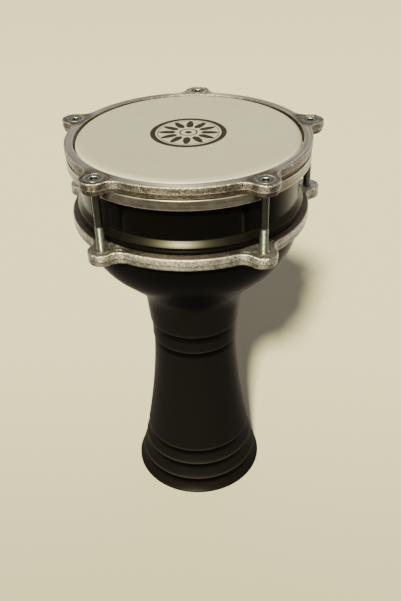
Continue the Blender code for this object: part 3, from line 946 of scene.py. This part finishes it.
def lower_casting(size):
    """The lower casting: its top face falls outward, and its ears are drilled for the screws."""
    edge = size["cast_edge"]
    height = RING_TOP - RING_BOTTOM
    parting = RING_BOTTOM + 0.46 * height
    drill = size["thread_radius"] + 0.25
    hole = [
        (drill + 1.0, RING_TOP, 0.0),
        (drill, RING_TOP - 1.0, 0.3),
        (drill, RING_BOTTOM + 1.0, 0.3),
        (drill + 1.0, RING_BOTTOM, 0.0),
    ]
    edges = (edge * 1.8, edge, 0.7)
    mesh = casting("lower_casting", RING_R, (RING_BOTTOM, RING_TOP), parting, edges, 0.0, hole, size)
    places = vertex_values(mesh, "co")
    distance = np.hypot(places[:, 0], places[:, 1]) / MM
    out = np.clip((distance - RING_R[0]) / (RING_R[1] - RING_R[0]), 0.0, 1.0)
    up = (places[:, 2] / MM - RING_BOTTOM) / height
    places[:, 2] -= 1.4 * MM * out * up
    move(mesh, places)
    finish_casting(mesh, RING_R[0], 31, 0.0, parting, size)
    return mesh


def screw_rows(size):
    """Rows of a screw from the middle of its socket's floor: radius, height, and how much of the
    radius follows the socket's hexagon."""
    flat = size["socket"] / 2.0
    head = SCREW_HEAD_R
    shank = size["shank_radius"]
    floor = SCREW_TOP - 3.2
    cone_low = SCREW_TOP - 0.7 - (head - shank)
    socket = np.array([
        (0.0, floor - 0.6, 0.0),
        (flat * 0.5, floor - 0.3, 0.4),
        (flat * 0.97, floor, 1.0),
        (flat, floor + 0.15, 1.0),
        (flat, SCREW_TOP - 1.6, 1.0),
        (flat, SCREW_TOP - 0.45, 1.0),
        (flat + 0.06, SCREW_TOP - 0.25, 1.0),
        (flat + 0.30, SCREW_TOP - 0.03, 0.9),
        (flat + 0.50, SCREW_TOP, 0.8),
    ])
    outside = [
        (flat + 1.2, SCREW_TOP, 0.0),
        (head, SCREW_TOP, 0.35),
        (head, SCREW_TOP - 0.65, 0.15),
        (shank, cone_low, 0.6),
        (shank, THREAD_TOP + 1.0, 0.0),
    ]
    outside = rounded(outside, 1.1, closed=False, steps=4)
    outside = np.concatenate([outside, np.zeros((len(outside), 1))], axis=1)
    thread = np.arange(THREAD_TOP + 0.9, SCREW_BOTTOM + 1.0, -size["pitch"] / 11.0)
    thread = np.stack([0.0 * thread + shank, thread, 0.0 * thread], axis=1)
    end = np.array([(2.9, SCREW_BOTTOM + 0.1, 0.0), (2.5, SCREW_BOTTOM, 0.0), (0.0, SCREW_BOTTOM, 0.0)])
    return np.concatenate([socket, outside, thread, end])


def tension_screw(ear, size):
    """A countersunk screw. A point's radius is its row's, times the hexagon's distance from its middle
    in the socket, plus in the thread a wave of the height less the pitch's share of the turn, which
    climbs to the right. The wave grows in over the first turn and dies out over the last."""
    columns = 48
    rows = screw_rows(size)
    turn = np.linspace(0.0, 2.0 * math.pi, columns, endpoint=False)[None, :]
    radius, height, hexed = (rows[:, i:i + 1] for i in range(3))
    side = np.mod(turn, math.pi / 3.0) - math.pi / 6.0
    radius = radius * (1.0 - hexed + hexed / np.cos(side))
    phase = 2.0 * math.pi * height / size["pitch"] - turn
    crest = (0.5 + 0.5 * np.cos(phase)) ** 0.75
    begun = np.clip((THREAD_TOP + 0.4 - height) / size["pitch"], 0.0, 1.0)
    ended = np.clip((height - SCREW_BOTTOM - 0.3) / size["pitch"], 0.0, 1.0)
    threaded = (size["thread_radius"] - size["thread_depth"] * (1.0 - crest)) - size["shank_radius"]
    in_thread = (height < THREAD_TOP + 0.95) & (height > SCREW_BOTTOM + 0.2)
    radius = radius + np.where(in_thread, threaded * begun - 0.9 * (1.0 - ended), 0.0)
    x = radius * np.cos(turn)
    y = radius * np.sin(turn)
    height = np.broadcast_to(height, x.shape)
    angle = FIRST_EAR + ear * SECTOR
    centre = (SCREW_CIRCLE_R * math.cos(angle), SCREW_CIRCLE_R * math.sin(angle))
    grid = np.stack([x + centre[0], y + centre[1], height], axis=2)
    mesh = closed_mesh(f"tension_screw_{ear + 1}", [(grid, False, True)])
    mark_edges(mesh, 1)
    return mesh


# Operators


class DRUM_OT_goblet(bpy.types.Operator):
    """Make the goblet-shaped shell, turned and coated satin black"""

    bl_idname = "drum.goblet"
    bl_label = "Goblet shell"

    def execute(self, context):
        size = millimetres()
        mesh = closed_mesh("goblet_shell", [(swept(goblet_profile(size), size["facets"]), True, True)])
        mark_edges(mesh)
        mark_lips(mesh)
        place(mesh, black_coat(), "black_coat", "drum", "shell")
        return {"FINISHED"}


class DRUM_OT_head(bpy.types.Operator):
    """Make the plastic head: film, rolled channel and the resin between them"""

    bl_idname = "drum.head"
    bl_label = "Head"

    def execute(self, context):
        size = millimetres()
        facets = size["facets"]
        film = closed_mesh("drum_head", [(swept(film_profile(size), facets), False, True)])
        place(film, frosted_film(), "white_film", "drum", "head_film")
        channel = closed_mesh("head_channel", [(swept(channel_profile(), facets), True, True)])
        mark_edges(channel)
        place(channel, rolled_metal(), "drawn_aluminium", "drum", "flesh_hoop")
        resin = closed_mesh("resin_bead", [(swept(resin_profile(), facets), True, True)])
        place(resin, set_resin(), "resin", "drum", "head_resin")
        return {"FINISHED"}


class DRUM_OT_castings(bpy.types.Operator):
    """Make the two eared castings that the screws draw together"""

    bl_idname = "drum.castings"
    bl_label = "Hoop and ring"

    def execute(self, context):
        size = millimetres()
        # Painted light: both castings are one aluminium. The hoop's sides take the darker tones as painted
        # shade, and the ring's sides take the lighter tones as painted reflection.
        hoop_skin = cast_metal("cast_hoop", "casting_dark", "casting")
        place(counter_hoop(size), hoop_skin, "cast_aluminium", "hoop", "top_hoop")
        ring_skin = cast_metal("cast_ring", "casting", "casting_bright")
        place(lower_casting(size), ring_skin, "cast_aluminium", "drum", "lower_ring")
        return {"FINISHED"}


class DRUM_OT_screws(bpy.types.Operator):
    """Make the five countersunk tension screws"""

    bl_idname = "drum.screws"
    bl_label = "Tension screws"

    def execute(self, context):
        size = millimetres()
        finish = zinc_plating()
        for ear in range(EARS):
            mesh = tension_screw(ear, size)
            place(mesh, finish, "zinc_steel", f"screw_{ear + 1}", f"tension_bolt_{ear + 1}")
        return {"FINISHED"}


class DRUM_OT_stage(bpy.types.Operator):
    """Make the pale floor, the lights and the camera"""

    bl_idname = "drum.stage"
    bl_label = "Stage"

    def execute(self, context):
        pale_floor()
        lights()
        camera()
        return {"FINISHED"}


def pale_floor():
    """A flat square grid round the drum. The camera sees it pale, with a little shade to the front and
    the back, and every other ray finds it dimmer."""
    side = np.linspace(-FLOOR_HALF, FLOOR_HALF, FLOOR_POINTS)
    x, y = np.meshgrid(side, side, indexing="ij")
    grid = np.stack([x, y, 0.0 * x - FLOOR_DROP], axis=2)
    mesh = bpy.data.meshes.new("floor")
    cells = quads(FLOOR_POINTS, FLOOR_POINTS, False, False)
    mesh.from_pydata((grid.reshape(-1, 3) * MM).tolist(), [], cells.tolist())
    finish = Finish("floor")
    pale = colours()["floor"]
    parts = finish.add("SeparateXYZ", {0: finish.place}).outputs
    tone = finish.blend(finish.span(parts[1], 0.3, -0.45), pale, dimmed(pale, 0.66))
    tone = finish.blend(finish.span(parts[1], 0.8, 3.2), tone, dimmed(pale, 0.86))
    seen = finish.add("LightPath").outputs["Is Camera Ray"]
    bounce = finish.blend(finish.span(parts[1], 0.0, 0.55), FLOOR_BOUNCE, FAR_BOUNCE)
    finish.set(Base_Color=finish.blend(seen, bounce, tone), Roughness=0.8, Specular_IOR_Level=0.2)
    mesh.materials.append(finish.material)
    floor = shown("floor", mesh)


def aim(item, place_at, target):
    """Stands a light or camera at a place, in metres, with its -Z axis to the target."""
    x, y, z = np.subtract(place_at, target)
    azimuth = math.atan2(x, -y)
    tilt = math.atan2(math.hypot(x, y), z)
    turn = Matrix.Rotation(azimuth, 4, "Z") @ Matrix.Rotation(tilt, 4, "X")
    item.matrix_world = Matrix.Translation(place_at) @ turn


def lights():
    """A warm sun from high in front, a pale panel high behind the drum, and a dim room that is set
    apart for what the camera sees, for gloss and for the rest."""
    key = bpy.data.lights.new("key", "SUN")
    key.angle = math.radians(6.5)
    key.energy = 8.4
    key.color = (1.0, 0.93, 0.55)
    level = math.cos(SUN_ELEVATION)
    sun = (-level * math.sin(SUN_AZIMUTH), -level * math.cos(SUN_AZIMUTH), math.sin(SUN_ELEVATION))
    aim(shown("key", key), sun, (0, 0, 0))
    wall = bpy.data.lights.new("wall", "AREA")
    wall.shape = "RECTANGLE"
    wall.size = 5.0
    wall.size_y = 2.4
    wall.energy = 23.0
    wall.color = (1.0, 0.94, 0.88)
    glow = shown("wall", wall)
    glow.visible_camera = False
    aim(glow, (0.3, 3.4, 2.6), (0, 0, 0.4))
    room = bpy.data.worlds.new("room")
    room.use_nodes = True
    tree = room.node_tree
    backdrop = tree.nodes["Background"]
    ray = tree.nodes.new("ShaderNodeLightPath")
    colour = None
    for kind, tint in (("Is Glossy Ray", (0.30, 0.275, 0.205)), ("Is Camera Ray", (1.30, 1.22, 0.95))):
        mix = tree.nodes.new("ShaderNodeMix")
        mix.data_type = "RGBA"
        tree.links.new(ray.outputs[kind], mix.inputs[0])
        mix.inputs[6].default_value = (0.125, 0.115, 0.118, 1.0)
        mix.inputs[7].default_value = (*tint, 1.0)
        if colour:
            tree.links.new(colour, mix.inputs[6])
        colour = mix.outputs[2]
    tree.links.new(colour, backdrop.inputs["Color"])
    bpy.context.scene.world = room


def camera():
    """A camera above and in front of the drum, looking down on its head."""
    lens = bpy.data.cameras.new("camera")
    lens.sensor_fit = "VERTICAL"
    lens.sensor_height = 36.0
    lens.lens = 42.94
    lens.clip_start = 0.05
    view = shown("camera", lens)
    turn = Matrix.Rotation(CAMERA_TURN, 4, "Z")
    tilt = Matrix.Rotation(CAMERA_TILT, 4, "X")
    roll = Matrix.Rotation(CAMERA_ROLL, 4, "Z")
    view.matrix_world = Matrix.Translation(CAMERA_PLACE) @ turn @ tilt @ roll
    bpy.context.scene.camera = view


class DRUM_PT_panel(bpy.types.Panel):
    """Lists the drum's operators, sizes and colours"""

    bl_label = "Goblet drum"
    bl_space_type = "VIEW_3D"
    bl_region_type = "UI"
    bl_category = "Drum"

    def draw(self, context):
        for operator in OPERATORS:
            self.layout.operator(operator.bl_idname)
        scene = context.scene
        for group, kind in ((scene.drum_sizes, DrumSizes), (scene.drum_colours, DrumColours)):
            box = self.layout.box()
            for name in kind.__annotations__:
                box.prop(group, name)


OPERATORS = (DRUM_OT_goblet, DRUM_OT_head, DRUM_OT_castings, DRUM_OT_screws, DRUM_OT_stage)
CLASSES = (DrumSizes, DrumColours, *OPERATORS, DRUM_PT_panel)


def register():
    for kind in CLASSES:
        bpy.utils.register_class(kind)
    bpy.types.Scene.drum_sizes = PointerProperty(type=DrumSizes)
    bpy.types.Scene.drum_colours = PointerProperty(type=DrumColours)


def unregister():
    del bpy.types.Scene.drum_colours
    del bpy.types.Scene.drum_sizes
    for kind in reversed(CLASSES):
        bpy.utils.unregister_class(kind)


def main():
    register()
    bpy.ops.drum.goblet()
    bpy.ops.drum.head()
    bpy.ops.drum.castings()
    bpy.ops.drum.screws()
    bpy.ops.drum.stage()


if __name__ == "__main__":
    main()
